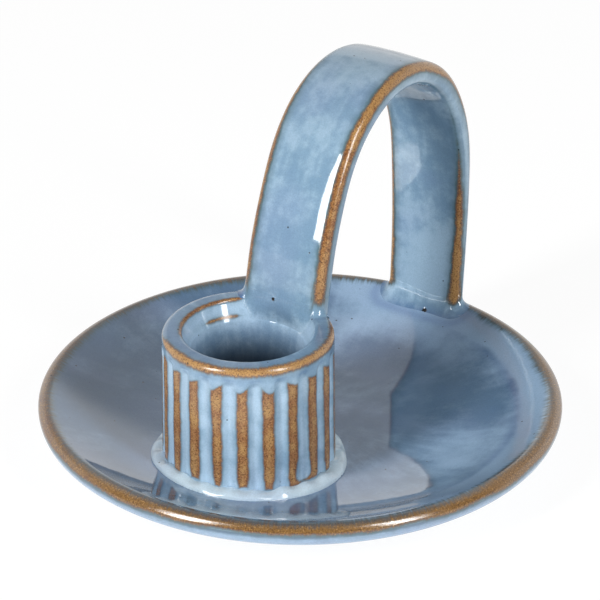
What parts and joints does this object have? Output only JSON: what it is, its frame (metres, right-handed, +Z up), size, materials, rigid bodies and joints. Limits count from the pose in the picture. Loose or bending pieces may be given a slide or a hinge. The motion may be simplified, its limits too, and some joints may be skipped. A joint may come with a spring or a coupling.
{
  "type": "chamberstick",
  "caption": "Round glazed stoneware chamberstick: a shallow dish, a fluted candle cup with a blind socket and a flat strap handle bent into a finger loop.",
  "frame": {"origin": "on the table, under the middle of the dish", "axes": "+Z up; the candle cup stands towards -Y, the strap runs in the plane x = 0 to the lip at +Y"},
  "size_m": [0.12, 0.12, 0.086],
  "materials": {
    "dish_glaze": "glossy blue reactive glaze that breaks to brown on the lip",
    "bare_stoneware": "bare fired stoneware, matt",
    "cup_glaze": "glossy blue glaze in the flutes, brown on the lands between them",
    "coil_glaze": "thick pale blue glaze, glossy",
    "strap_glaze": "glossy blue glaze that breaks to brown on the edges",
    "luting_glaze": "glossy pooled blue glaze"
  },
  "bodies": {
    "root": {"dish": "dish_glaze", "foot_ring": "bare_stoneware", "candle_cup": "cup_glaze", "cup_foot_coil": "coil_glaze", "handle_strap": "strap_glaze", "handle_cup_luting": "luting_glaze", "handle_dish_luting": "luting_glaze"}
  },
  "joints": []
}
